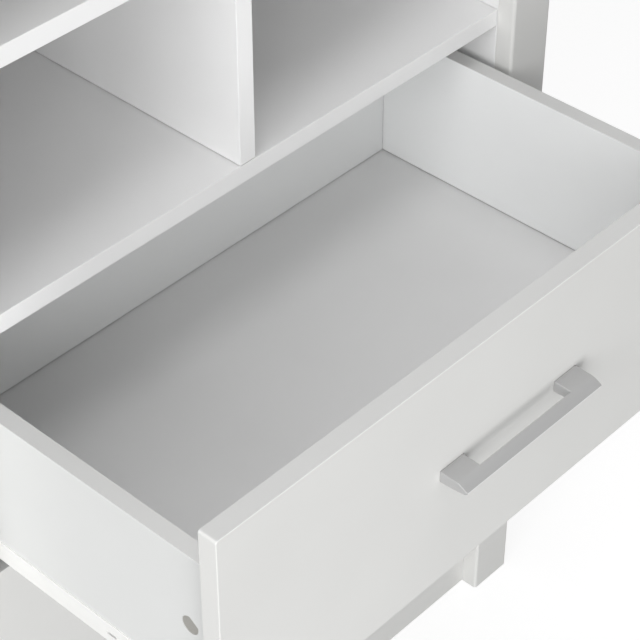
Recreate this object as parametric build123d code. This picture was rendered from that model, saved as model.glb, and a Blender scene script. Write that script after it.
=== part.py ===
"""White storage unit: three drawers below two rows of open compartments, on four corner posts.

Millimetres. +X is the unit's right seen from the front, +Y runs to its back and +Z is up.
The origin is the middle of the front plinth's underside, on the floor.
The top drawer is modelled pulled out, the other two closed.
"""
import os

from build123d import *

# ---- carcass ----
inner_width = 590.0             # between the two side panels
board = 16.0                    # side panels, shelves, dividers, plinth and rails
carcass_depth = 387.0           # front edge to rear edge of a side panel
back_thickness = 3.0
top_thickness = 22.0
top_overhang = 6.0              # past the posts, at the front and at each end
post_width = 49.0
post_projection = 17.5          # how far the front posts stand in front of the carcass edge
post_rounding = 3.0
pad_radius = 10.0               # plastic pads let into the ends of the posts
pad_thickness = 4.0

# ---- drawers ----
drawer_count = 3
front_height = 205.0
front_thickness = 16.0
front_rounding = 2.0
front_gap = 3.0                 # round each drawer front
plinth_zone = 62.0              # floor to the lowest drawer front
bottom_gap = 4.0                # lowest drawer front to the bottom board, clear of its rollers
closed_gap = 0.5                # closed drawer front to the carcass edge
rest_pull = 241.1               # how far the top drawer is out
box_side = 14.0                 # thickness of a drawer side
box_gap = 12.0                  # side panel to drawer side, for the runner
box_length = 356.0              # a drawer side, behind the front
box_top_drop = 44.5             # top of the front to the top of the sides
box_back = 15.0
floor_drop = 172.8              # top of the front to the drawer floor's upper face
floor_thickness = 3.5
groove_depth = 5.0              # grooves that the drawer floor sits in

# ---- open compartments ----
shelf_drop = 12.0               # top of the top drawer front to the underside of the shelf
lower_opening = 188.0
upper_opening = 187.0

# ---- handles ----
handle_length = 153.4
handle_reach = 25.5
handle_drop = 92.8              # top of the front to the handle's upper face
handle_foot = 25.2              # length of each foot along the handle
handle_foot_height = 9.8
handle_bar = 9.0                # width of the grip, tip to finger slot
handle_flat = 17.0              # the upper face is nearly level this far out from the front
handle_fall = 0.7               # and falls this much over that stretch
handle_tip_drop = 3.7           # from there it curves down to the tip, this far under its start
handle_tip = 3.8                # height of the tip's face
handle_tip_lean = 1.2           # the tip's face leans back this much towards its foot
hole_spacing = 128.0
screw_radius = 2.0
screw_hole_radius = 2.1
screw_in_foot = 8.0
screw_head_radius = 4.5
screw_head = 2.4

# ---- cam fittings, one on each drawer side ----
cam_radius = 7.5
cam_depth = 12.0
cam_from_face = 37.3            # from the drawer front's outer face
cam_drop = 110.0
cam_bolt_radius = 2.5
cam_bolt_in_front = 11.0
cam_bolt_in_cam = 3.0

# ---- roller runners ----
steel = 1.2
member_length = 347.0
member_start = 3.0              # behind the drawer front's inner face
member_top_drop = 171.3         # top of the front to the top of the drawer member
member_height = 19.8
member_flange = 13.0
slot_from_face = 118.0
slot_drop = 185.0
slot_length = 10.0
slot_radius = 1.25
channel_length = 352.0
channel_start = 4.0             # behind the carcass edge
channel_flange = 9.6
rear_roller_radius = 7.5
front_roller_radius = 8.0
roller_width = 7.0
roller_play = 0.4               # roller to the member that it carries or runs in
rear_roller_y = 343.0           # closed, behind the carcass edge
front_roller_y = 18.0
axle_radius = 2.0
axle_play = 0.05
axle_head_radius = 3.2
axle_head = 0.8
tab_length = 26.0               # the channel's tab that carries the front roller

# ---- brackets to a wall ----
bracket_x = 147.0
bracket_width = 30.0
bracket_leg = 22.0
bracket_steel = 2.0
bracket_hole_radius = 2.75

# ---- worked out from the sizes above ----
carcass_front_y = -board / 2
carcass_rear_y = carcass_front_y + carcass_depth
unit_rear_y = carcass_rear_y + back_thickness
wall_x = inner_width / 2
panel_x = wall_x + board
post_x = wall_x + post_width
post_front_y = carcass_front_y - post_projection
bottom_z = plinth_zone - bottom_gap - board
fronts_top = plinth_zone + drawer_count * front_height + (drawer_count - 1) * front_gap
shelf_z = fronts_top - shelf_drop
upper_shelf_z = shelf_z + board + lower_opening
top_z = upper_shelf_z + board + upper_opening
front_x = wall_x - front_gap
box_x = wall_x - box_gap
closed_face_y = carcass_front_y - closed_gap - front_thickness


def block(x0, x1, y0, y1, z0, z1):
    """Rectangular block between the given faces."""
    centre = Pos((x0 + x1) / 2, (y0 + y1) / 2, (z0 + z1) / 2)
    return centre * Box(abs(x1 - x0), abs(y1 - y0), abs(z1 - z0))


def rod_x(radius, x0, x1, y, z):
    """Round bar along X."""
    return Pos((x0 + x1) / 2, y, z) * Rot(0, 90, 0) * Cylinder(radius, abs(x1 - x0))


def rod_y(radius, x, y0, y1, z):
    """Round bar along Y."""
    return Pos(x, (y0 + y1) / 2, z) * Rot(90, 0, 0) * Cylinder(radius, abs(y1 - y0))


def rod_z(radius, x, y, z0, z1):
    """Round bar along Z."""
    return Pos(x, y, (z0 + z1) / 2) * Cylinder(radius, abs(z1 - z0))


def save(name, *solids):
    """Write one node: a single solid, or a group of separate ones."""
    shape = solids[0] if len(solids) == 1 else Compound(children=list(solids))
    export_step(shape, f"parts/{name}.step")


# ---------------------------------------------------------------- carcass

def side_panel(side):
    """Upright panel between the front and rear posts of one end."""
    return block(side * wall_x, side * panel_x, carcass_front_y, carcass_rear_y, 0, top_z)


def front_post(side):
    """Square post, rebated at the back for the side panel, which ends up flush inside."""
    post = block(side * wall_x, side * post_x, post_front_y, post_front_y + post_width, 0, top_z)
    upright = post.edges().filter_by(Axis.Z)
    in_front = upright.group_by(Axis.Y)[0]
    post = fillet(in_front, post_rounding)
    rebate = block(side * wall_x, side * panel_x, carcass_front_y, carcass_rear_y, 0, top_z)
    return post - rebate - post_pad(side, post_front_y + post_width / 2)


def rear_post(side):
    """Post outside the side panel at the back, flush with the back panel."""
    post = block(side * panel_x, side * post_x, unit_rear_y - post_width, unit_rear_y, 0, top_z)
    return post - post_pad(side, unit_rear_y - post_width / 2)


def post_pad(side, y):
    """Plastic pad let into the end of a post, flush with it."""
    return rod_z(pad_radius, side * (panel_x + post_x) / 2, y, 0, pad_thickness)


def post_pads():
    """The four pads."""
    places = (post_front_y + post_width / 2, unit_rear_y - post_width / 2)
    return [post_pad(side, y) for side in (-1, 1) for y in places]


def cross_board(z0, z1):
    """Board across the whole inner width, from the carcass edge to the back panel."""
    return block(-wall_x, wall_x, carcass_front_y, carcass_rear_y, z0, z1)


def top_board():
    """Top, standing past the posts at the front and the ends."""
    reach = post_x + top_overhang
    top = block(-reach, reach, post_front_y - top_overhang, unit_rear_y, top_z, top_z + top_thickness)
    return fillet(top.edges().group_by(Axis.Y)[0].filter_by(Axis.X), front_rounding)


def divider(z0, z1):
    """Upright in the middle of a row of compartments."""
    return block(-board / 2, board / 2, carcass_front_y, carcass_rear_y, z0, z1)


def front_plinth():
    """Rail under the lowest drawer, down to the floor."""
    return block(-wall_x, wall_x, carcass_front_y, carcass_front_y + board, 0, bottom_z)


def rear_rail():
    """Rail across the back, under the bottom board."""
    return block(-wall_x, wall_x, carcass_rear_y - board, carcass_rear_y, 0, bottom_z)


def wall_hole(side):
    """Hole through a wall bracket and the back panel."""
    y0 = carcass_rear_y - bracket_steel
    return rod_y(bracket_hole_radius, side * bracket_x, y0, unit_rear_y, top_z - bracket_leg / 2)


def back_panel():
    """Thin back, lapping the rear edges of both side panels."""
    half = panel_x - back_thickness / 2
    panel = block(-half, half, carcass_rear_y, unit_rear_y, 0, top_z)
    return panel - wall_hole(-1) - wall_hole(1)


def wall_bracket(side):
    """Angle under the top board, with a hole for a screw into the wall."""
    x0 = side * bracket_x - bracket_width / 2
    x1 = x0 + bracket_width
    under_top = block(x0, x1, carcass_rear_y - bracket_leg, carcass_rear_y, top_z - bracket_steel, top_z)
    on_back = block(x0, x1, carcass_rear_y - bracket_steel, carcass_rear_y, top_z - bracket_leg, top_z)
    return under_top + on_back - wall_hole(side)


# ---------------------------------------------------------------- drawers

def drawer_front(top, face_y):
    """Drawer front with rounded outer edges, a groove for the floor and holes for the fittings."""
    inner_y = face_y + front_thickness
    panel = block(-front_x, front_x, face_y, inner_y, top - front_height, top)
    panel = fillet(panel.edges().group_by(Axis.Y)[0], front_rounding)
    for side in (-1, 1):
        hole_x = side * hole_spacing / 2
        panel -= rod_y(screw_hole_radius, hole_x, face_y, inner_y, handle_screw_z(top))
        panel -= cam_bolt(side, top, face_y)
    return panel - drawer_floor(top, face_y)


def drawer_side(side, top, face_y):
    """Side of the drawer box, grooved for the floor and bored for its cam and bolt."""
    y0 = face_y + front_thickness
    bottom = member_top_drop + member_height - steel
    panel = block(side * (box_x - box_side), side * box_x, y0, y0 + box_length, top - bottom, top - box_top_drop)
    panel -= drawer_floor(top, face_y)
    return panel - cam(side, top, face_y) - cam_bolt(side, top, face_y)


def drawer_back(top, face_y):
    """Back of the drawer box, between the sides."""
    half = box_x - box_side
    y1 = face_y + front_thickness + box_length
    bottom = member_top_drop + member_height - steel
    panel = block(-half, half, y1 - box_back, y1, top - bottom, top - box_top_drop)
    return panel - drawer_floor(top, face_y)


def drawer_floor(top, face_y):
    """Thin floor, held in grooves on all four sides."""
    half = box_x - box_side + groove_depth
    y0 = face_y + front_thickness - groove_depth
    y1 = face_y + front_thickness + box_length - box_back + groove_depth
    return block(-half, half, y0, y1, top - floor_drop - floor_thickness, top - floor_drop)


def handle_screw_z(top):
    """Height of the two handle screws."""
    return top - handle_drop - handle_foot_height / 2


def handle(top, face_y):
    """Flat bar on two feet: one section along its whole length, rounded off to the tip, with a finger slot."""
    upper = top - handle_drop
    at_door = (face_y, upper)
    knee = (face_y - handle_flat, upper - handle_fall)
    tip = (face_y - handle_reach, upper - handle_tip_drop)
    shoulder = ((knee[0] + tip[0]) / 2, (knee[1] + tip[1]) / 2 + 0.6)
    under_tip = (tip[0] + handle_tip_lean, tip[1] - handle_tip)
    under_door = (face_y, upper - handle_foot_height)
    belly = ((under_tip[0] + face_y) / 2, (under_tip[1] + under_door[1]) / 2 - 0.4)
    outline = Polyline(under_door, at_door, knee) + ThreePointArc(knee, shoulder, tip)
    outline += Line(tip, under_tip) + ThreePointArc(under_tip, belly, under_door)
    section = make_face(outline)
    bar = Pos(-handle_length / 2, 0, 0) * extrude(Plane.YZ * section, amount=handle_length)
    half_slot = handle_length / 2 - handle_foot
    slot_y = face_y - handle_reach + handle_bar
    bar -= block(-half_slot, half_slot, slot_y, face_y, under_door[1] - 1, upper + 1)
    for side in (-1, 1):
        hole_x = side * hole_spacing / 2
        bar -= rod_y(screw_hole_radius, hole_x, face_y - screw_in_foot, face_y, handle_screw_z(top))
    return bar


def handle_screw(side, top, face_y):
    """Pan-head screw through the drawer front into a foot of the handle."""
    inner_y = face_y + front_thickness
    x = side * hole_spacing / 2
    z = handle_screw_z(top)
    shank = rod_y(screw_radius, x, face_y - screw_in_foot, inner_y, z)
    return shank + rod_y(screw_head_radius, x, inner_y, inner_y + screw_head, z)


def cam(side, top, face_y):
    """Round cam set into the outer face of a drawer side."""
    return rod_x(cam_radius, side * (box_x - cam_depth), side * box_x, face_y + cam_from_face, top - cam_drop)


def cam_bolt(side, top, face_y):
    """Bolt from the drawer front into the cam, along the middle of the side."""
    x = side * (box_x - box_side / 2)
    y0 = face_y + front_thickness - cam_bolt_in_front
    y1 = face_y + cam_from_face - cam_radius + cam_bolt_in_cam
    return rod_y(cam_bolt_radius, x, y0, y1, top - cam_drop)


def cam_fittings(top, face_y):
    """Both cams of a drawer and their bolts."""
    solids = []
    for side in (-1, 1):
        bolt = cam_bolt(side, top, face_y)
        solids.append(bolt)
        solids.append(cam(side, top, face_y) - bolt)
    return solids


# ---------------------------------------------------------------- runners
# u is the distance from a side panel's inner face towards the middle of the unit.

def at_u(side, u):
    """X at the distance u from a side panel."""
    return side * (wall_x - u)


def rear_roller_z(top):
    """Height of a drawer's rear rollers, half way up its members."""
    return top - member_top_drop - member_height / 2


def front_roller_z(top):
    """Height of the front rollers, just under the drawer member's flange."""
    return top - member_top_drop - member_height - roller_play - front_roller_radius


def headed_axle(side, u0, u1, y, z):
    """Riveted axle from a member at u0 to its head, which ends at u1."""
    head_u = u1 - axle_head if u1 > u0 else u1 + axle_head
    shank = rod_x(axle_radius, at_u(side, u0), at_u(side, head_u), y, z)
    return shank + rod_x(axle_head_radius, at_u(side, head_u), at_u(side, u1), y, z)


def roller(side, radius, u0, y, z):
    """Nylon roller with a running bore."""
    wheel = rod_x(radius, at_u(side, u0), at_u(side, u0 + roller_width), y, z)
    wheel = fillet(wheel.edges(), 0.8)
    return wheel - rod_x(axle_radius + axle_play, at_u(side, u0), at_u(side, u0 + roller_width), y, z)


rear_roller_u = box_gap - steel - 0.4 - roller_width    # outer face of a drawer's rear roller
front_roller_u = box_gap + 0.6                          # outer face of a front roller


def drawer_member(side, top, face_y):
    """Steel angle under a drawer side, with a slot for its screw and the rear roller's axle."""
    y0 = face_y + front_thickness + member_start
    y1 = y0 + member_length
    z1 = top - member_top_drop
    z0 = z1 - member_height
    web = block(at_u(side, box_gap - steel), at_u(side, box_gap), y0, y1, z0, z1)
    flange = block(at_u(side, box_gap - steel), at_u(side, box_gap - steel + member_flange), y0, y1, z0, z0 + steel)
    slot_y = face_y + slot_from_face
    slot_z = top - slot_drop
    half = slot_length / 2 - slot_radius
    slot = block(at_u(side, 0), at_u(side, box_gap), slot_y - half, slot_y + half, slot_z - slot_radius,
                 slot_z + slot_radius)
    for end in (-half, half):
        slot += rod_x(slot_radius, at_u(side, 0), at_u(side, box_gap), slot_y + end, slot_z)
    axle_y = rear_roller_place(face_y)
    axle = headed_axle(side, box_gap - steel, rear_roller_u - 1.0, axle_y, rear_roller_z(top))
    return web + flange - slot + axle


def rear_roller_place(face_y):
    """Y of a drawer's rear rollers."""
    return carcass_front_y + rear_roller_y + face_y - closed_face_y


def cabinet_member(side, top):
    """Steel channel on a side panel; a tab at its front carries the front roller's axle."""
    y0 = carcass_front_y + channel_start
    y1 = y0 + channel_length
    half = rear_roller_radius + roller_play
    middle = rear_roller_z(top)
    z0 = middle - half - steel
    z1 = middle + half + steel
    channel = block(at_u(side, 0), at_u(side, steel), y0, y1, z0, z1)
    channel += block(at_u(side, 0), at_u(side, channel_flange), y0, y1, z0, z0 + steel)
    channel += block(at_u(side, 0), at_u(side, channel_flange), y0, y1, z1 - steel, z1)
    axle_y = carcass_front_y + front_roller_y
    axle_z = front_roller_z(top)
    channel += block(at_u(side, 0), at_u(side, steel), y0, y0 + tab_length, axle_z - front_roller_radius, z0)
    end_u = front_roller_u + roller_width + 0.2 + axle_head
    return channel + headed_axle(side, steel, end_u, axle_y, axle_z)


def front_rollers(top):
    """The pair of rollers at the front of the cabinet members."""
    y = carcass_front_y + front_roller_y
    return [roller(side, front_roller_radius, front_roller_u, y, front_roller_z(top)) for side in (-1, 1)]


def rear_rollers(top, face_y):
    """The pair of rollers at the back of a drawer."""
    y = rear_roller_place(face_y)
    return [roller(side, rear_roller_radius, rear_roller_u, y, rear_roller_z(top)) for side in (-1, 1)]


# ---------------------------------------------------------------- nodes

def save_carcass():
    """Everything that stays still."""
    for name, side in (("left", -1), ("right", 1)):
        save(f"side_panel_{name}", side_panel(side))
        save(f"front_post_{name}", front_post(side))
        save(f"rear_post_{name}", rear_post(side))
    save("post_pads", *post_pads())
    save("top_board", top_board())
    save("upper_shelf", cross_board(upper_shelf_z, upper_shelf_z + board))
    save("drawer_shelf", cross_board(shelf_z, shelf_z + board))
    save("bottom_board", cross_board(bottom_z, bottom_z + board))
    save("upper_divider", divider(upper_shelf_z + board, top_z))
    save("lower_divider", divider(shelf_z + board, upper_shelf_z))
    save("front_plinth", front_plinth())
    save("rear_rail", rear_rail())
    save("back_panel", back_panel())
    save("wall_brackets", wall_bracket(-1), wall_bracket(1))


def save_drawer(number, top, face_y):
    """One drawer, its runners on both sides and their rollers."""
    name = f"drawer_{number}"
    save(f"{name}_front", drawer_front(top, face_y))
    save(f"{name}_side_left", drawer_side(-1, top, face_y))
    save(f"{name}_side_right", drawer_side(1, top, face_y))
    save(f"{name}_back", drawer_back(top, face_y))
    save(f"{name}_floor", drawer_floor(top, face_y))
    save(f"{name}_handle", handle(top, face_y))
    save(f"{name}_handle_screws", *[handle_screw(side, top, face_y) for side in (-1, 1)])
    save(f"{name}_cam_fittings", *cam_fittings(top, face_y))
    save(f"{name}_runner_left", drawer_member(-1, top, face_y))
    save(f"{name}_runner_right", drawer_member(1, top, face_y))
    save(f"{name}_rear_rollers", *rear_rollers(top, face_y))
    save(f"cabinet_runners_{number}", cabinet_member(-1, top), cabinet_member(1, top))
    save(f"front_rollers_{number}", *front_rollers(top))


def main():
    os.makedirs("parts", exist_ok=True)
    save_carcass()
    for index in range(drawer_count):
        top = fronts_top - index * (front_height + front_gap)
        pull = rest_pull if index == 0 else 0.0
        save_drawer(index + 1, top, closed_face_y - pull)
        print("drawer", index + 1, "rear roller y", rear_roller_place(closed_face_y - pull), "z", rear_roller_z(top),
              "front roller z", front_roller_z(top))
    print("height", top_z + top_thickness, "shelf", shelf_z, "upper shelf", upper_shelf_z)


main()
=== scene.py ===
import bmesh
import bpy
import numpy as np
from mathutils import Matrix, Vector


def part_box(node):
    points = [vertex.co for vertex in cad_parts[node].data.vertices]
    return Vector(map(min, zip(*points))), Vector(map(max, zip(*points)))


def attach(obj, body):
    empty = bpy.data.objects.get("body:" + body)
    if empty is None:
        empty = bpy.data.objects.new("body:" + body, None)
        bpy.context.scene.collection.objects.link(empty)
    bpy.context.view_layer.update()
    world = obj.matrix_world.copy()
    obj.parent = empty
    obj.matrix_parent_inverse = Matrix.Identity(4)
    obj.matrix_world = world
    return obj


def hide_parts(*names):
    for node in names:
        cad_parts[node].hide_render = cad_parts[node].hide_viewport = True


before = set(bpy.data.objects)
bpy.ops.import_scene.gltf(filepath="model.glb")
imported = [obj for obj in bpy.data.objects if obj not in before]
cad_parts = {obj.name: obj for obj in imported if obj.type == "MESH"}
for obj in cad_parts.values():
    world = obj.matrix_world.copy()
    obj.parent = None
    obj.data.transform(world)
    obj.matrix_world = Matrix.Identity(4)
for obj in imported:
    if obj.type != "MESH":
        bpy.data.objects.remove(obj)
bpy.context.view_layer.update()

MM = 0.001
X, Y, Z = 0, 1, 2
SIDES = {"left": -1, "right": 1}
DRAWERS = (1, 2, 3)

JOINT = 0.7 * MM                  # gap at a sawn end, wider than a real one so that its dark line shows
GROOVE = 5.0 * MM                 # depth of the grooves that hold a drawer floor
GROOVE_OVER = 0.8 * MM            # room over the floor in its groove
GROOVE_UNDER = 0.1 * MM           # and under it
STEEL = 1.2 * MM                  # thickness of the runners' sheet
RUNNER_HEIGHT = 19.8 * MM         # of the angle under a drawer side
RUNNER_FLANGE = 13.0 * MM         # width of its foot
RUNNER_START = 19.0 * MM          # of that angle, from the front's outer face
RUNNER_END = 366.0 * MM
CHANNEL_LIP = 9.6 * MM            # width of the channels on the side panels
AXLE_TAB = 26.0 * MM              # length of the tab that holds a front axle
AXLE_REACH = 20.6 * MM            # of a front axle from the side panel
ROLLER_WIDTH = 7.0 * MM
ROLLER_PLAY = 0.4 * MM            # between a rear roller and its channel
AXLE = 2.0 * MM                   # radius of a roller's axle
AXLE_HEAD = 3.2 * MM              # radius of its riveted head
AXLE_HEAD_HEIGHT = 0.8 * MM
CAM = 7.5 * MM                    # radius of the cams' pockets
CAM_DEPTH = 12.0 * MM
CAM_FLAT = 5.8 * MM               # from the middle of a pocket to its flat
CAM_FLAT_ANGLE = np.radians(126)  # of the flat's middle, from +Y towards +Z
CAM_SETBACK = 37.3 * MM           # from the drawer front's outer face
CAM_DROP = 110.0 * MM             # below the top of the front
BOLT = 2.5 * MM                   # radius of the holes for the cams' bolts
BOLT_OUT = 276.0 * MM             # from the middle of a drawer to each bolt
BOLT_DEPTH = 11.0 * MM            # of its hole in the drawer front
BOLT_RUN = 15.0 * MM              # of its hole in the drawer side, into the pocket
SLOT_SETBACK = 118.0 * MM         # of a runner's screw slot from the front's outer face
SLOT_DROP = 181.0 * MM            # below the top of the front
HOLE_SPACING = 128.0 * MM         # between a handle's two screws
HANDLE_HEIGHT = 9.8 * MM          # of a handle's foot at the drawer front
HANDLE_FOOT = 25.2 * MM           # length of that foot
HANDLE_BAR = 10.2 * MM            # width of the grip
HANDLE_EDGE = 0.6 * MM            # rounding of its edges
HANDLE_CORNER = 1.6 * MM          # rounding of its tip's ends, seen from above
NOSE_SETBACK = 1.2 * MM           # of its tip's lower edge from the upper one
BRACKET_INSET = 15.0 * MM         # of a wall screw hole from the end of the brackets
BRACKET_DROP = 11.0 * MM          # of that hole below their top
FLOOR_SIZE = 24.0                 # metres, far larger than the unit
FLOOR_SHINE = 0.75                # strength of the floor's own light as the camera sees it
FLOOR_GLOW = 0.1                  # and as it lights the unit
SKY_SHINE = 0.9                   # strength of the sky as the camera sees it
SKY_GLOW = 0.34                   # and as it lights the unit
LENS_MM = 118.955
SENSOR_MM = 36.0
CAMERA_AT = (-0.90672, -0.92214, 1.61367)
CAMERA_BEARING = 47.158           # degrees from +Y to the right
CAMERA_TILT = 40.030              # degrees down
SOFT_BOXES = (                    # name, degrees to the right of the front, degrees up, distance, side, watts
    ("floor_box", -25, -6, 2.4, 0.7, 13),
    ("low_left_box", -45, 15, 6.0, 3.0, 122),
    ("left_box", -75, 20, 6.0, 2.3, 92),
    ("side_box", -65, 42, 6.0, 3.0, 36),
    ("top_box", 0, 89, 3.2, 2.2, 43),
)


# ---------------------------------------------------------------- materials

def linear(hex_colour):
    """sRGB hex colour as linear red, green, blue and alpha."""
    srgb = np.array([int(hex_colour[i:i + 2], 16) for i in (1, 3, 5)]) / 255
    value = np.where(srgb <= 0.04045, srgb / 12.92, ((srgb + 0.055) / 1.055) ** 2.4)
    return (*value.tolist(), 1.0)


def add(tree, kind, inputs, **settings):
    """Adds a node. An input that is a socket is linked, any other is set."""
    node = tree.nodes.new(kind)
    for name, value in settings.items():
        setattr(node, name, value)
    for key, value in inputs.items():
        if isinstance(value, bpy.types.NodeSocket):
            tree.links.new(value, node.inputs[key])
        else:
            node.inputs[key].default_value = value
    return node


def shader(name, **values):
    """Material with one Principled shader; values go on its own sockets."""
    material = bpy.data.materials.new(name)
    material.use_nodes = True
    principled = material.node_tree.nodes["Principled BSDF"]
    for socket, value in values.items():
        principled.inputs[socket.replace("_", " ")].default_value = value
    return material, material.node_tree, principled


def noise(tree, grain_mm, detail=2.0, roughness=0.5):
    """Noise from 0 to 1 whose grains are this many millimetres along X, Y and Z."""
    place = add(tree, "ShaderNodeTexCoord", {})
    scale = [1 / (MM * g) for g in np.broadcast_to(grain_mm, 3).tolist()]
    mapped = add(tree, "ShaderNodeMapping", {"Vector": place.outputs["Object"], "Scale": scale})
    inputs = {"Vector": mapped.outputs["Vector"], "Scale": 1.0, "Detail": detail, "Roughness": roughness}
    return add(tree, "ShaderNodeTexNoise", inputs).outputs["Fac"]


def spread(tree, value, low, high):
    """A 0.3 to 0.7 value, which is where noise lies, mapped onto low to high."""
    inputs = {"Value": value, "From Min": 0.3, "From Max": 0.7, "To Min": low, "To Max": high}
    return add(tree, "ShaderNodeMapRange", inputs).outputs["Result"]


def between(tree, value, dark, light):
    """Colour between two close shades."""
    inputs = {0: spread(tree, value, 0.0, 1.0), 6: linear(dark), 7: linear(light)}
    return add(tree, "ShaderNodeMix", inputs, data_type="RGBA").outputs[2]


def relief(tree, principled, height, depth_mm):
    """Bump of the given depth from a 0 to 1 height."""
    bump = add(tree, "ShaderNodeBump", {"Height": height, "Distance": depth_mm * MM, "Strength": 1.0})
    tree.links.new(bump.outputs["Normal"], principled.inputs["Normal"])


def melamine(name, dark, light, along):
    """White melamine foil pressed on an embossed plate: a satin sheen broken by fine long pores.
    along is the axis of the grain. Real pores are about 0.2 mm wide and 5 mm long; they are drawn 0.9 mm
    wide and 22 mm long, so that they show. The colour drifts a little over 120 mm, as the board under
    the foil does."""
    material, tree, principled = shader(name, IOR=1.5)
    stretch = [0.9, 0.9, 0.9]
    stretch[along] = 22.0
    pores = noise(tree, stretch, 3.0, 0.6)
    tree.links.new(between(tree, noise(tree, 120.0), dark, light), principled.inputs["Base Color"])
    tree.links.new(spread(tree, pores, 0.36, 0.5), principled.inputs["Roughness"])
    relief(tree, principled, pores, 0.02)
    return material


def wrapped_foil(name, dark, light):
    """White foil wrapped round MDF, as on the fronts and posts: satin, with a slight orange peel of 2.5 mm,
    and cloudy by a shade over 140 mm."""
    material, tree, principled = shader(name, IOR=1.5)
    peel = noise(tree, 2.5)
    tree.links.new(between(tree, noise(tree, 140.0), dark, light), principled.inputs["Base Color"])
    tree.links.new(spread(tree, peel, 0.3, 0.4), principled.inputs["Roughness"])
    relief(tree, principled, peel, 0.012)
    return material


def abs_band(name, colour):
    """White ABS edge band, ironed on and scraped: smoother than melamine, with faint scraper waves of 6 mm.
    The band is real; the colour it is given, whiter than melamine, is painted light."""
    material, tree, principled = shader(name, Base_Color=linear(colour), IOR=1.53)
    waves = noise(tree, 6.0, 1.0)
    tree.links.new(spread(tree, waves, 0.3, 0.38), principled.inputs["Roughness"])
    relief(tree, principled, waves, 0.01)
    return material


def hardboard(name, dark, light):
    """White lacquer rolled on hardboard: flatter than foil, with the press screen's weave of 1.6 mm just
    showing."""
    material, tree, principled = shader(name, IOR=1.48)
    weave = noise(tree, (1.6, 4.0, 4.0), 2.0)
    tree.links.new(between(tree, noise(tree, 90.0), dark, light), principled.inputs["Base Color"])
    tree.links.new(spread(tree, weave, 0.42, 0.56), principled.inputs["Roughness"])
    relief(tree, principled, weave, 0.012)
    return material


def silver_lacquer(name, colour):
    """Satin silver lacquer sprayed on an aluminium bar: metal flake under clear lacquer, so part of the
    light is thrown back evenly and part as a wide, soft highlight. Real flakes are finer than 0.1 mm; they
    are drawn 0.5 mm wide, so that they show."""
    material, tree, principled = shader(name, Base_Color=linear(colour), Metallic=0.35)
    grit = noise(tree, 0.5)
    tree.links.new(spread(tree, grit, 0.42, 0.54), principled.inputs["Roughness"])
    relief(tree, principled, grit, 0.008)
    return material


def powder_coat(name, colour):
    """White epoxy powder baked on steel: half glossy, with the low swells of 2 mm that melted powder
    leaves."""
    material, tree, principled = shader(name, Base_Color=linear(colour), IOR=1.5)
    swell = noise(tree, 2.0)
    tree.links.new(spread(tree, swell, 0.34, 0.42), principled.inputs["Roughness"])
    relief(tree, principled, swell, 0.002)
    return material


def zinc_plate(name, colour):
    """Bright zinc on die-cast or pressed metal, a little dulled: grey, with duller patches about 2 mm wide.
    It is part metallic, so that it throws back some light evenly and stays grey where nothing is mirrored
    in it."""
    material, tree, principled = shader(name, Base_Color=linear(colour), Metallic=0.6)
    patch = noise(tree, 2.0, 4.0)
    tree.links.new(spread(tree, patch, 0.4, 0.55), principled.inputs["Roughness"])
    relief(tree, principled, patch, 0.01)
    return material


def moulded(name, colour):
    """Moulded plastic such as nylon: milky, with light going a little way in, and a fine texture of
    0.6 mm from the mould."""
    material, tree, principled = shader(name, Base_Color=linear(colour), IOR=1.53, Subsurface_Weight=0.2,
                                        Subsurface_Scale=0.002)
    grain = noise(tree, 0.6)
    tree.links.new(spread(tree, grain, 0.36, 0.5), principled.inputs["Roughness"])
    relief(tree, principled, grain, 0.01)
    return material


board_x = melamine("melamine_grain_across", "#eeeeee", "#f1f1f1", X)
board_z = melamine("melamine_grain_upright", "#eeeeee", "#f1f1f1", Z)
box_x = melamine("drawer_melamine_grain_across", "#eff0f0", "#f2f3f3", X)
# inner faces of the drawer sides, whiter than their outer faces: painted light
box_inner_painted_light = melamine("drawer_inner_melamine_painted_light", "#f4f5f5", "#f7f8f8", Y)
# rest of the drawer sides, outer faces above all, a shade greyer than their inner faces: painted shade
box_outer_painted_shade = wrapped_foil("drawer_side_foil_painted_shade", "#dfe0df", "#e2e3e2")
foil = wrapped_foil("white_wrapped_foil", "#e0e0de", "#e3e3e1")
tops_painted_shade = wrapped_foil("upper_edge_foil_painted_shade", "#d2d2d1", "#d5d5d4")   # up-facing faces a shade greyer than the rest: painted shade
# forward edges of shelves and dividers: a real band, set whiter than the board, which is painted light
edge_band_painted_light = abs_band("abs_band_painted_light", "#fbfbfb")
sheet = hardboard("white_lacquered_hardboard", "#e0e0e0", "#e3e3e3")
coat = powder_coat("white_powder_coat", "#f4f4f2")
silver = silver_lacquer("satin_silver_lacquer", "#b8b8b8")
tip_painted_highlight = silver_lacquer("silver_lacquer_painted_highlight", "#ececec")           # paler along the grip's tip: a painted highlight
zinc = zinc_plate("bright_zinc", "#c2c0ba")
nylon = moulded("natural_nylon", "#dedcd4")
grey_plastic = moulded("grey_pad_plastic", "#8c8c8a")


# ---------------------------------------------------------------- surfaces

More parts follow.
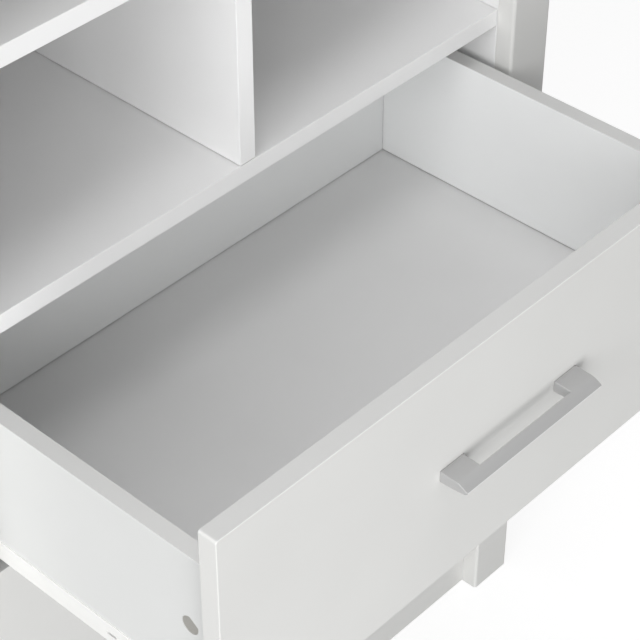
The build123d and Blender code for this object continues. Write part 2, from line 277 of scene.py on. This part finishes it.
def rounded(corners, radii_mm, steps=4):
    """Outline through corners, each rounded to its radius. The arc runs between the points that lie
    radius / tan(half the corner's angle) away along its two sides, about a centre on the bisector.
    Between them a point is the mean of the two radius vectors, weighted by the sines of the turns left
    and done."""
    corners = np.asarray(corners, float)
    radii = np.broadcast_to(np.asarray(radii_mm, float) * MM, len(corners))[:, None]
    before = np.roll(corners, 1, 0) - corners
    after = np.roll(corners, -1, 0) - corners
    before /= np.linalg.norm(before, axis=1, keepdims=True)
    after /= np.linalg.norm(after, axis=1, keepdims=True)
    half = np.arccos(np.clip((before * after).sum(1, keepdims=True), -1, 1)) / 2
    bisector = before + after
    bisector /= np.linalg.norm(bisector, axis=1, keepdims=True)
    centre = corners + bisector * radii / np.sin(half)
    first = corners + before * radii / np.tan(half) - centre
    last = corners + after * radii / np.tan(half) - centre
    turn = (np.pi - 2 * half)[:, None]
    t = np.linspace(0, 1, steps + 1)[None, :, None]
    arc = first[:, None] * np.sin((1 - t) * turn) + last[:, None] * np.sin(t * turn)
    return (centre[:, None] + arc / np.sin(turn)).reshape(-1, 2)


def rectangle(low, high, radii_mm, steps=4):
    """Rounded rectangle between two corners."""
    return rounded([low, (high[0], low[1]), high, (low[0], high[1])], radii_mm, steps)


def circle(centre, radius, count=48):
    """Points round a circle."""
    angle = np.linspace(0, 2 * np.pi, count, endpoint=False)
    return np.stack([centre[0] + radius * np.cos(angle), centre[1] + radius * np.sin(angle)], 1)


def drawn_in(outline, distance):
    """Outline moved inwards: each point moves along the mean of its two sides' inward normals, far enough
    for both sides to move by the distance."""
    ahead = np.roll(outline, -1, 0)
    side = ahead - outline
    turning = np.sign((outline[:, 0] * ahead[:, 1] - outline[:, 1] * ahead[:, 0]).sum())
    inward = np.stack([-side[:, 1], side[:, 0]], 1) * turning
    inward /= np.maximum(np.linalg.norm(side, axis=1, keepdims=True), 1e-12)
    normal = inward + np.roll(inward, 1, 0)
    normal /= np.maximum((normal ** 2).sum(1, keepdims=True) / 2, 1e-9)
    return outline + normal * distance


def bar(outline, axis, start, end, eases_mm=(0.5, 0.5), steps=4):
    """Rings of a straight bar: an outline in the two axes after axis, carried from start to end. Each end
    is eased: ease * (1 - cos a) back from the end, the outline is drawn in by ease * (1 - sin a), for a
    from 0 to a right angle."""
    angle = np.linspace(0, np.pi / 2, steps + 1)
    first, last = (max(ease, 0.001) * MM for ease in eases_mm)
    along = np.concatenate([start + first * (1 - np.cos(angle)), end - last * (1 - np.cos(angle[::-1]))])
    inset = np.concatenate([first * (1 - np.sin(angle)), last * (1 - np.sin(angle[::-1]))])
    rings = np.empty((len(along), len(outline), 3))
    rings[:, :, axis] = along[:, None]
    flat = np.stack([drawn_in(outline, d) for d in inset])
    rings[:, :, (axis + 1) % 3] = flat[:, :, 0]
    rings[:, :, (axis + 2) % 3] = flat[:, :, 1]
    return rings


def turned(profile, centre, count=48):
    """Rings of a shape turned about a line along X: every (x, radius) of the profile becomes a circle."""
    profile = np.asarray(profile, float)
    angle = np.linspace(0, 2 * np.pi, count, endpoint=False)
    rings = np.empty((len(profile), count, 3))
    rings[:, :, 0] = profile[:, :1]
    rings[:, :, 1] = centre[0] + profile[:, 1:] * np.cos(angle)
    rings[:, :, 2] = centre[1] + profile[:, 1:] * np.sin(angle)
    return rings


def mesh_of(name, stacks, closed=False):
    """One mesh from stacks of rings: four-sided faces between neighbours. A closed stack joins its last
    ring to its first, and an open one ends in two flat caps. All faces are turned outwards."""
    points, faces = [], []
    start = 0
    for rings in stacks:
        count, size = rings.shape[:2]
        grid = start + np.arange(count * size).reshape(count, size)
        around = np.vstack([grid, grid[:1]]) if closed else grid
        beside = np.roll(around, -1, 1)
        quads = np.stack([around[:-1], beside[:-1], beside[1:], around[1:]], -1)
        faces += quads.reshape(-1, 4).tolist()
        if not closed:
            faces += [grid[0][::-1].tolist(), grid[-1].tolist()]
        points.append(rings.reshape(-1, 3))
        start += count * size
    mesh = bpy.data.meshes.new(name)
    mesh.from_pydata(np.concatenate(points).tolist(), [], faces)
    work = bmesh.new()
    work.from_mesh(mesh)
    bmesh.ops.remove_doubles(work, verts=work.verts, dist=1e-7)
    bmesh.ops.dissolve_degenerate(work, edges=work.edges, dist=1e-7)
    bmesh.ops.recalc_face_normals(work, faces=work.faces)
    work.to_mesh(mesh)
    work.free()
    return mesh


def placed(name, mesh):
    """Object in the scene for a mesh."""
    obj = bpy.data.objects.new(name, mesh)
    bpy.context.scene.collection.objects.link(obj)
    return obj


def piece(name, stacks, body, material, nodes, cuts=(), closed=False, corner=50):
    """A finished piece: its rings, less the cuts, smooth but for corners sharper than the corner angle,
    with normals weighted by face area so that flat faces stay flat. It rides on the body and stands for the
    nodes."""
    obj = placed(name, mesh_of(name, stacks, closed))
    for rings in cuts:
        cutter = placed("cutter", mesh_of("cutter", [rings]))
        hollow = obj.modifiers.new("cut", "BOOLEAN")
        hollow.operation = "DIFFERENCE"
        hollow.solver = "EXACT"
        hollow.object = cutter
        result = bpy.data.meshes.new_from_object(obj.evaluated_get(bpy.context.evaluated_depsgraph_get()))
        obj.modifiers.clear()
        obj.data = result
        bpy.data.objects.remove(cutter)
    obj.data.name = name
    obj.data.materials.clear()
    obj.data.materials.append(material)
    obj.data.shade_smooth()
    obj.data.set_sharp_from_angle(angle=np.radians(corner))
    weighted = obj.modifiers.new("flat_faces", "WEIGHTED_NORMAL")
    weighted.keep_sharp = True
    weighted.weight = 80
    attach(obj, body)
    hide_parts(*nodes)
    return obj


def painted_light_by_facing(obj, material, direction):
    """Another material, lighter or darker, on the faces whose normals lie within 25 degrees of a direction:
    painted light and shade by which way a face looks. On banded boards these faces are also the real edge
    band.
    """
    obj.data.materials.append(material)
    faces = obj.data.polygons
    normals = np.empty(len(faces) * 3)
    index = np.empty(len(faces), np.int32)
    faces.foreach_get("normal", normals)
    faces.foreach_get("material_index", index)
    facing = normals.reshape(-1, 3) @ np.array(direction, float) > 0.9
    faces.foreach_set("material_index", np.where(facing, len(obj.data.materials) - 1, index).astype(np.int32))


def board(node, body, material, along, edges_mm=0.8, ends_mm=(0.4, 0.4), cuts=(), banded=False):
    """Board in place of a CAD node: the node's box as a bar along one axis, with its edges eased. On a
    banded board the faces whose normal points forwards are edge band, a real band made whiter by painted
    light. Its sawn ends stay a joint's width off their neighbours, which shows as a thin dark line."""
    low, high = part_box(node)
    a, b = (along + 1) % 3, (along + 2) % 3
    outline = rectangle((low[a], low[b]), (high[a], high[b]), edges_mm)
    joint = JOINT if banded else 0.0
    rings = bar(outline, along, low[along] + joint, high[along] - joint, ends_mm)
    obj = piece(node + "_shown", [rings], body, material, [node], cuts)
    if banded:
        # forward faces: edge band, whiter by painted light
        painted_light_by_facing(obj, edge_band_painted_light, (0, -1, 0))


# ---------------------------------------------------------------- carcass

def carcass():
    """The boards that stay still: foil or banded edges, eased by 0.3 to 3 mm."""
    for side in SIDES:
        board(f"side_panel_{side}", "cabinet", board_z, Z, 0.8, (0.5, 0.5))
        board(f"rear_post_{side}", "cabinet", foil, Z, 2.0, (0.8, 0.5))
        front_post(side)
    board("top_board", "cabinet", foil, X, (2.0, 1.4, 1.4, 2.0), (1.4, 1.4))
    for node in ("upper_shelf", "drawer_shelf", "bottom_board"):
        board(node, "cabinet", board_x, X, 0.5, banded=True)
    for node in ("upper_divider", "lower_divider"):
        board(node, "cabinet", board_z, Z, 0.5, banded=True)
    for node in ("front_plinth", "rear_rail"):
        board(node, "cabinet", foil, X, 0.9)
    low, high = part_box("wall_brackets")
    reach = (high.x - low.x) / 2 - BRACKET_INSET
    holes = []
    for side in SIDES.values():
        outline = circle((high.z - BRACKET_DROP, side * reach), 2.75 * MM, 32)
        holes.append(bar(outline, Y, high.y - 6.0 * MM, high.y + 6.0 * MM, (0, 0)))
    board("back_panel", "cabinet", sheet, Z, 0.4, (0.4, 0.4), holes)


def front_post(side):
    """Post with rounded front corners and a rebate behind for the side panel."""
    node = f"front_post_{side}"
    low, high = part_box(node)
    panel_low, panel_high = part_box(f"side_panel_{side}")
    inner, outer = (high.x, low.x) if side == "left" else (low.x, high.x)
    rebate = panel_low.x if side == "left" else panel_high.x
    corners = [(inner, low.y), (outer, low.y), (outer, high.y), (rebate, high.y), (rebate, panel_low.y),
               (inner, panel_low.y)]
    outline = rounded(corners, (3.0, 3.0, 2.0, 0.8, 0.3, 0.8), 5)
    rings = bar(outline, Z, low.z, high.z, (0.7, 0.4))
    piece(node + "_shown", [rings], "cabinet", foil, [node])


# ---------------------------------------------------------------- drawers

def slot_cutter(side, x_low, x_high, face, top):
    """Long hole for a runner's screw."""
    y, z = face + SLOT_SETBACK, top - SLOT_DROP
    outline = rectangle((y - 5.0 * MM, z - 1.25 * MM), (y + 5.0 * MM, z + 1.25 * MM), 1.249, 8)
    return bar(outline, X, x_low, x_high, (0, 0))


def cam_outline(face, bolt_z, radius):
    """Circle in a drawer side, cut off straight: its radius is the smaller of the given one and
    d / cos(angle from the flat's middle). The flat's distance d is CAM_FLAT for the pocket, and less by
    as much as the cam is smaller."""
    angle = np.linspace(0, 2 * np.pi, 96, endpoint=False)
    away = np.cos(angle - CAM_FLAT_ANGLE)
    to_flat = (CAM_FLAT + radius - CAM) / np.maximum(away, 0.1)
    reach = np.where(away > 0.1, np.minimum(radius, to_flat), radius)
    return np.stack([face + CAM_SETBACK + reach * np.cos(angle), bolt_z + reach * np.sin(angle)], 1)


def drawer(number):
    """Front, box, handle and fittings of one drawer."""
    body = f"drawer_{number}"
    low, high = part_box(f"{body}_front")
    face, inner, top = low.y, high.y, high.z
    floor_low, floor_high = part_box(f"{body}_floor")
    groove = (floor_low.z - GROOVE_UNDER, floor_high.z + GROOVE_OVER)
    bolt_z = top - CAM_DROP

    holes = []
    for side in SIDES.values():
        centre = (bolt_z, side * BOLT_OUT)
        holes.append(bar(circle(centre, BOLT, 24), Y, inner - BOLT_DEPTH, inner + 1.0 * MM, (0, 0)))
    outline = rectangle((low.z, low.x), (high.z, high.x), 2.4, 6)
    rings = bar(outline, Y, face, inner, (0.7, 0.5), 6)
    obj = piece(f"{body}_front_shown", [rings], body, foil, [f"{body}_front"], holes)
    # top of the front a shade greyer: painted shade
    painted_light_by_facing(obj, tops_painted_shade, (0, 0, 1))

    for name, side in SIDES.items():
        node = f"{body}_side_{name}"
        low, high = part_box(node)
        outer_x, inner_x = (low.x, high.x) if side < 0 else (high.x, low.x)
        deep = inner_x + side * GROOVE
        corners = [(low.z, outer_x), (low.z, inner_x), (groove[0], inner_x), (groove[0], deep),
                   (groove[1], deep), (groove[1], inner_x), (high.z, inner_x), (high.z, outer_x)]
        outline = rounded(corners, (0.4, 0.4, 0.4, 0.3, 0.3, 0.4, 0.4, 0.4))
        pocket = sorted((outer_x - side * CAM_DEPTH, outer_x + side * 1.0 * MM))
        dent = sorted((outer_x - side * 5.0 * MM, outer_x + side * 1.0 * MM))
        bore = circle((bolt_z, side * BOLT_OUT), BOLT, 24)
        cuts = [bar(cam_outline(face, bolt_z, CAM), X, *pocket, (0, 0)),
                bar(bore, Y, inner - 1.0 * MM, inner + BOLT_RUN, (0, 0)),
                slot_cutter(side, *dent, face, top)]
        rings = bar(outline, Y, low.y, high.y, (0.3, 0.3))
        # the side's outer face a shade greyer: painted shade
        obj = piece(node + "_shown", [rings], body, box_outer_painted_shade, [node], cuts)
        # inner face whiter: painted light
        painted_light_by_facing(obj, box_inner_painted_light, (-side, 0, 0))
        # top a shade greyer: painted shade
        painted_light_by_facing(obj, tops_painted_shade, (0, 0, 1))

    node = f"{body}_back"
    low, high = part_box(node)
    deep = low.y + GROOVE
    corners = [(low.y, low.z), (high.y, low.z), (high.y, high.z), (low.y, high.z), (low.y, groove[1]),
               (deep, groove[1]), (deep, groove[0]), (low.y, groove[0])]
    outline = rounded(corners, (0.4, 0.4, 0.4, 0.4, 0.4, 0.3, 0.3, 0.4))
    rings = bar(outline, X, low.x + JOINT, high.x - JOINT, (0.3, 0.3))
    piece(node + "_shown", [rings], body, box_x, [node])

    node = f"{body}_floor"
    start = inner + 0.4 * MM
    outline = rectangle((start, floor_low.z), (floor_high.y, floor_high.z), 0.3)
    rings = bar(outline, X, floor_low.x, floor_high.x, (0.3, 0.3))
    piece(node + "_shown", [rings], body, sheet, [node])

    handle(body)
    handle_screws(body)
    cams(body, face, bolt_z)
    for name, side in SIDES.items():
        drawer_runner(number, name, side, face, top)
    for node, rides in ((f"{body}_rear_rollers", f"rear_rollers_{number}"),
                        (f"front_rollers_{number}", f"front_rollers_{number}")):
        rollers(node, rides)
    cabinet_runners(number)


def across(width, count=10, steps=4):
    """Places from one wall to the other of a section whose edges are rounded: a quarter circle in, even
    steps over the flat, and a quarter circle out. With each place goes how far the rounding takes it
    down."""
    angle = np.linspace(0, np.pi / 2, steps + 1)
    place = HANDLE_EDGE * (1 - np.cos(angle))
    drop = HANDLE_EDGE * (1 - np.sin(angle))
    flat = np.linspace(HANDLE_EDGE, width - HANDLE_EDGE, count)[1:-1]
    return np.concatenate([place, flat, width - place[::-1]]), np.concatenate([drop, flat * 0, drop[::-1]])


def handle(body):
    """Bar handle on two feet, one skin: a section carried up the left foot, along the grip and down the
    right foot. Each point of the section keeps its distance from the outer walls, so the corners are
    mitred. With t as the way from the drawer front to the tip, the upper face falls by 1 mm * t, and by
    4 mm * s^1.6 more from s = 0, 15 mm out, to s = 1 at the tip. The lower face rises by 2.4 mm * t^2 to
    leave a nose 2.4 mm high."""
    node = f"{body}_handle"
    low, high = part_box(node)
    reach, half, face = high.y - low.y, (high.x - low.x) / 2, high.y

    def upper(v):
        beyond = np.clip((v - 15.0 * MM) / (reach - 15.0 * MM), 0, 1)
        return -1.0 * MM * v / reach - 4.0 * MM * beyond ** 1.6

    def lower(v):
        return -HANDLE_HEIGHT + 2.4 * MM * np.clip(v / (reach - NOSE_SETBACK), 0, 1) ** 2

    angle = np.linspace(0, np.pi / 2, 6)[1:, None]
    at_door = np.array([0, 0.06, 0.2, 0.4, 0.7, 1.0])[:, None] * MM
    run_foot = np.linspace(0, 1, 20)[1:, None]
    run_bar = np.linspace(-1, 1, 14)[1:-1, None]
    edge_x, drop = across(HANDLE_FOOT)
    corner = np.maximum(HANDLE_CORNER - edge_x, 0.02 * MM)
    rows = []
    for surface, sign, tip in ((upper, -1, reach), (lower, 1, reach - NOSE_SETBACK)):
        edge_v, _ = across(HANDLE_BAR - (reach - tip))
        x, v = half - edge_x, tip - edge_v
        foot_v = np.concatenate([at_door + 0 * v, at_door[-1] + run_foot * (v - corner - at_door[-1]),
                                 v - corner * (1 - np.sin(angle))])
        foot_x = np.concatenate([at_door * 0 + x, run_foot * 0 + x, x - corner * (1 - np.cos(angle))])
        bar_x = run_bar * (x - corner)
        path_x = np.concatenate([-foot_x, bar_x, foot_x[::-1]])
        path_v = np.concatenate([foot_v, bar_x * 0 + v, foot_v[::-1]])
        rows.append(np.stack([path_x, path_v, surface(path_v) + sign * drop], -1))
    grid = np.concatenate([rows[0], rows[1][:, ::-1]], 1)
    round_mm = 0.8 * MM
    shrink = round_mm * (1 - np.sqrt(1 - np.clip(1 - grid[..., 1] / round_mm, 0, 1) ** 2))
    middle = np.sign(grid[..., 0]) * (half - HANDLE_FOOT / 2)
    grid[..., 0] += (middle - grid[..., 0]) * shrink / (HANDLE_FOOT / 2)
    grid[..., 2] += (-HANDLE_HEIGHT / 2 - grid[..., 2]) * shrink / (HANDLE_HEIGHT / 2)
    rings = np.stack([grid[..., 0], face - grid[..., 1], high.z + grid[..., 2]], -1)
    obj = piece(node + "_shown", [rings], body, silver, [node])
    # the grip's forward-facing tip paler: painted highlight
    painted_light_by_facing(obj, tip_painted_highlight, (0, -0.97, 0.24))


def handle_screws(body):
    """Pan-head screws on the inside of a drawer front: the head is 0.3 h high at its rim, with a dome of
    0.7 h (1 - (r / R)^4) over it. A cross-shaped recess is sunk in it by
    1.1 mm * exp(-(distance from the nearer arm / 0.5 mm)^4 - (distance along it / 2.4 mm)^8)."""
    node = f"{body}_handle_screws"
    low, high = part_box(node)
    z = (low.z + high.z) / 2
    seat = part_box(f"{body}_front")[1].y
    radius, height = 4.4 * MM, high.y - seat
    angle = np.linspace(0, 2 * np.pi, 64, endpoint=False)
    r = radius * np.concatenate([[1.0, 1.0], np.linspace(0.985, 0.04, 18)])[:, None]
    up = height * (0.3 + 0.7 * (1 - (r / radius) ** 4))
    up[0] = 0
    u, v = r * np.cos(angle), r * np.sin(angle)
    arm = np.minimum(np.abs(u), np.abs(v)) / (0.5 * MM)
    length = np.maximum(np.abs(u), np.abs(v)) / (2.4 * MM)
    out = up - 1.1 * MM * np.exp(-arm ** 4 - length ** 8) * (up > 0)
    stacks = []
    for side in SIDES.values():
        rings = np.stack([side * HOLE_SPACING / 2 + u, seat + out, z + v], -1)
        stacks.append(rings)
    piece(node + "_shown", stacks, body, zinc, [node], corner=70)


def cams(body, face, bolt_z):
    """Die-cast cams let into the drawer sides, a hair below the face, with the bolts that they draw in."""
    node = f"{body}_cam_fittings"
    low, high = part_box(node)
    outline = cam_outline(face, bolt_z, CAM - 0.12 * MM)
    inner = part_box(f"{body}_front")[1].y
    stacks = []
    for side, outer_x in ((-1, low.x), (1, high.x)):
        near, far = outer_x - side * 0.2 * MM, outer_x - side * (CAM_DEPTH - 0.1 * MM)
        stacks.append(bar(outline, X, min(near, far), max(near, far), (0.25, 0.25)))
        rod = circle((bolt_z, side * BOLT_OUT), BOLT - 0.1 * MM, 24)
        stacks.append(bar(rod, Y, inner - BOLT_DEPTH + 0.2 * MM, face + CAM_SETBACK - CAM, (0.4, 0.1)))
    piece(node + "_shown", stacks, body, zinc, [node])


# ---------------------------------------------------------------- runners

def axle(x_start, x_head, x_end, centre):
    """Riveted axle: a shank to the head, and a head with a rounded rim."""
    lean = np.sign(x_end - x_start) * 0.35 * MM
    profile = [(x_start, AXLE), (x_head, AXLE), (x_head, AXLE_HEAD), (x_end - lean, AXLE_HEAD),
               (x_end - lean * 0.3, AXLE_HEAD - 0.12 * MM), (x_end, AXLE_HEAD - 0.4 * MM), (x_end, 0.6 * MM)]
    return turned(profile, centre, 32)


def rollers(node, rides):
    """Pair of nylon rollers: a rim and a hub joined by a thinner web, turned about the axle."""
    low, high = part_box(node)
    centre = ((low.y + high.y) / 2, (low.z + high.z) / 2)
    radius = (high.z - low.z) / 2
    bore, hub, rim, dish = AXLE + 0.05 * MM, 3.6 * MM, radius - 1.9 * MM, 1.2 * MM
    w = ROLLER_WIDTH
    corners = [(0, bore), (0, hub), (dish, hub), (dish, rim), (0, rim), (0, radius), (w, radius), (w, rim),
               (w - dish, rim), (w - dish, hub), (w, hub), (w, bore)]
    profile = rounded(corners, (0.3, 0.2, 0.2, 0.2, 0.2, 0.8, 0.8, 0.2, 0.2, 0.2, 0.2, 0.3))
    stacks = [turned(profile + (low.x, 0), centre), turned(profile + (high.x - w, 0), centre)]
    piece(node + "_shown", stacks, rides, nylon, [node], closed=True, corner=40)


def drawer_runner(number, name, side, face, top):
    """Steel angle under a drawer side, bent to a radius of 1.8 mm outside, with the axle of its rear
    roller."""
    node = f"drawer_{number}_runner_{name}"
    low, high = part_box(node)
    box_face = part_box(f"drawer_{number}_side_{name}")[0 if side < 0 else 1].x
    web = box_face + side * STEEL
    foot = web - side * RUNNER_FLANGE
    bottom = high.z - RUNNER_HEIGHT
    corners = [(high.z, web), (high.z, box_face), (bottom + STEEL, box_face), (bottom + STEEL, foot),
               (bottom, foot), (bottom, web)]
    outline = rounded(corners, (0.35, 0.15, 0.6, 0.35, 0.35, 1.8), 5)
    roller_low, roller_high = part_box(f"drawer_{number}_rear_rollers")
    centre = ((roller_low.y + roller_high.y) / 2, (roller_low.z + roller_high.z) / 2)
    tip = low.x if side < 0 else high.x
    rod = axle(box_face + side * 0.2 * MM, tip - side * AXLE_HEAD_HEIGHT, tip, centre)
    stacks = [bar(outline, Y, face + RUNNER_START, face + RUNNER_END, (0.3, 0.3)), rod]
    span = sorted((box_face - side * 1.0 * MM, web + side * 1.0 * MM))
    piece(node + "_shown", stacks, f"drawer_{number}", coat, [node],
          [slot_cutter(side, *span, face, top)])


def cabinet_runners(number):
    """Channels on the side panels, bent to a radius of 1.8 mm outside, with a tab in front that holds the
    front axle."""
    node = f"cabinet_runners_{number}"
    low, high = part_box(node)
    rear_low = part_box(f"drawer_{number}_rear_rollers")[0]
    front_low, front_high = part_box(f"front_rollers_{number}")
    bottom = rear_low.z - ROLLER_PLAY - STEEL
    centre = ((front_low.y + front_high.y) / 2, (front_low.z + front_high.z) / 2)
    tab = rectangle((low.y, low.z), (low.y + AXLE_TAB, bottom + 1.0 * MM), (3.0, 3.0, 0.3, 0.3))
    stacks = []
    for side, wall in ((-1, low.x), (1, high.x)):
        web, lip = wall - side * STEEL, wall - side * CHANNEL_LIP
        corners = [(bottom, wall), (bottom, lip), (bottom + STEEL, lip), (bottom + STEEL, web),
                   (high.z - STEEL, web), (high.z - STEEL, lip), (high.z, lip), (high.z, wall)]
        outline = rounded(corners, (1.8, 0.35, 0.35, 0.6, 0.6, 0.35, 0.35, 1.8), 5)
        stacks.append(bar(outline, Y, low.y, high.y, (0.3, 0.3)))
        stacks.append(bar(tab, X, min(wall, web), max(wall, web), (0.2, 0.2)))
        tip = wall - side * AXLE_REACH
        stacks.append(axle(web + side * 0.2 * MM, tip + side * AXLE_HEAD_HEIGHT, tip, centre))
    piece(node + "_shown", stacks, "cabinet", coat, [node])


# ---------------------------------------------------------------- carried-over nodes

def paint(node, material):
    """New material on a CAD node that keeps its mesh."""
    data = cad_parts[node].data
    data.materials.clear()
    data.materials.append(material)


# ---------------------------------------------------------------- stage, light and camera

def seen_or_lit(tree, seen, lit):
    """Strength of a backdrop: one for rays from the camera, so how it looks, and one for all other rays, so
    the light that it gives."""
    path = add(tree, "ShaderNodeLightPath", {})
    inputs = {"Value": path.outputs["Is Camera Ray"], "To Min": lit, "To Max": seen}
    return add(tree, "ShaderNodeMapRange", inputs).outputs["Result"]


def stage():
    """Paper floor. Its own light is FLOOR_SHINE strong in the view, where it looks white, and FLOOR_GLOW
    strong where it lights the unit."""
    material, tree, principled = shader("studio_paper", Base_Color=linear("#9b9b9b"), Roughness=0.9,
                                        Emission_Color=(1, 1, 1, 1))
    tree.links.new(seen_or_lit(tree, FLOOR_SHINE, FLOOR_GLOW), principled.inputs["Emission Strength"])
    mesh = bpy.data.meshes.new("studio_floor")
    reach = FLOOR_SIZE / 2
    mesh.from_pydata([(-reach, -reach, 0), (reach, -reach, 0), (reach, reach, 0), (-reach, reach, 0)], [],
                     [(0, 1, 2, 3)])
    mesh.materials.append(material)
    placed("studio_floor", mesh)


def lights():
    """Soft boxes round the unit, most of them on its front left, and an even sky."""
    middle = Vector((0.0, 0.0, 0.6))
    aim = Vector((0.0, -0.1, 0.6))
    for name, bearing, height, distance, size, watts in SOFT_BOXES:
        bearing, height = np.radians((bearing, height))
        out = Vector((np.sin(bearing) * np.cos(height), -np.cos(bearing) * np.cos(height), np.sin(height)))
        data = bpy.data.lights.new(name, "AREA")
        data.shape = "SQUARE"
        data.size = size
        data.energy = watts
        lamp = bpy.data.objects.new(name, data)
        lamp.location = middle + distance * out
        lamp.rotation_euler = (aim - lamp.location).to_track_quat("-Z", "Y").to_euler()
        bpy.context.scene.collection.objects.link(lamp)
    world = bpy.data.worlds.new("even_sky")
    world.use_nodes = True
    back = world.node_tree.nodes["Background"]
    back.inputs["Color"].default_value = (1, 1, 1, 1)
    world.node_tree.links.new(seen_or_lit(world.node_tree, SKY_SHINE, SKY_GLOW), back.inputs["Strength"])
    bpy.context.scene.world = world
    bpy.context.scene.view_settings.view_transform = "Standard"


def camera():
    """Long lens from the front left, looking down into the open drawer."""
    data = bpy.data.cameras.new("camera")
    data.sensor_width = SENSOR_MM
    data.lens = LENS_MM
    data.clip_start = 0.01
    obj = bpy.data.objects.new("camera", data)
    azimuth, elevation = np.radians((CAMERA_BEARING, CAMERA_TILT))
    level = np.cos(elevation)
    ahead = Vector((np.sin(azimuth) * level, np.cos(azimuth) * level, -np.sin(elevation)))
    obj.rotation_euler = ahead.to_track_quat("-Z", "Y").to_euler()
    obj.location = CAMERA_AT
    bpy.context.scene.collection.objects.link(obj)
    bpy.context.scene.camera = obj


carcass()
for number in DRAWERS:
    drawer(number)
paint("post_pads", grey_plastic)
paint("wall_brackets", zinc)
stage()
lights()
camera()
